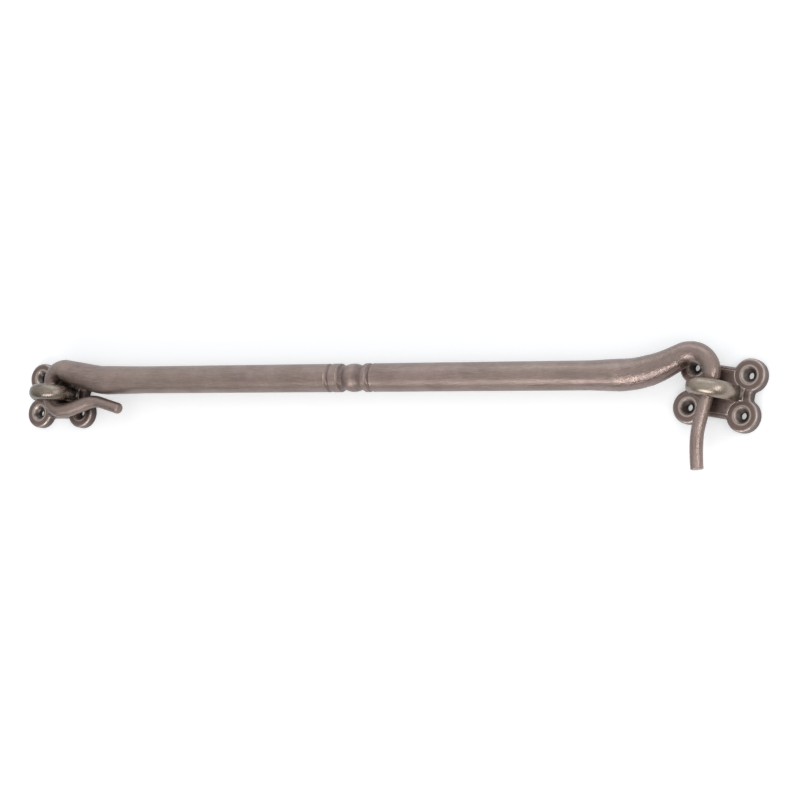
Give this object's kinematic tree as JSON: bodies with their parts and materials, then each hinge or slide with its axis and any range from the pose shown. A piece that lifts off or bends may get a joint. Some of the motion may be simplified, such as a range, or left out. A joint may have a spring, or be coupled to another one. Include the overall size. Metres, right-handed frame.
{
  "type": "cabin hook",
  "caption": "Cabin hook: a turned bar swings on a staple at one end and drops its bent tail through a matching staple at the other.",
  "frame": {"origin": "centre of the fixed plate's back face", "axes": "+X along the bar to the hooked end, +Y to the side where the arch rises, +Z out of the face the plates are screwed to"},
  "size_m": [0.2869, 0.0401, 0.0162],
  "materials": {
    "bar_bronze": "brushed antique bronze, satin",
    "plate_bronze": "dark antique bronze, satin with worn edges",
    "staple_brass": "aged brass, satin"
  },
  "bodies": {
    "fixed_eye": {"fixed_plate": "plate_bronze", "fixed_staple": "staple_brass"},
    "hook": {"hook_bar": "bar_bronze"},
    "receiver": {"receiver_plate": "plate_bronze", "receiver_staple": "staple_brass"}
  },
  "joints": [
    {"name": "bar_swing", "type": "hinge", "parent": "fixed_eye", "child": "hook", "pos_m": [0.0059, 0, 0.00805], "axis": [0, 0, 1], "range_deg": [-90, 12]},
    {"name": "receiver_release", "type": "slide", "parent": "hook", "child": "receiver", "axis": [-0.1971, -0.9804, 0], "range_m": [0, 0.04]}
  ]
}
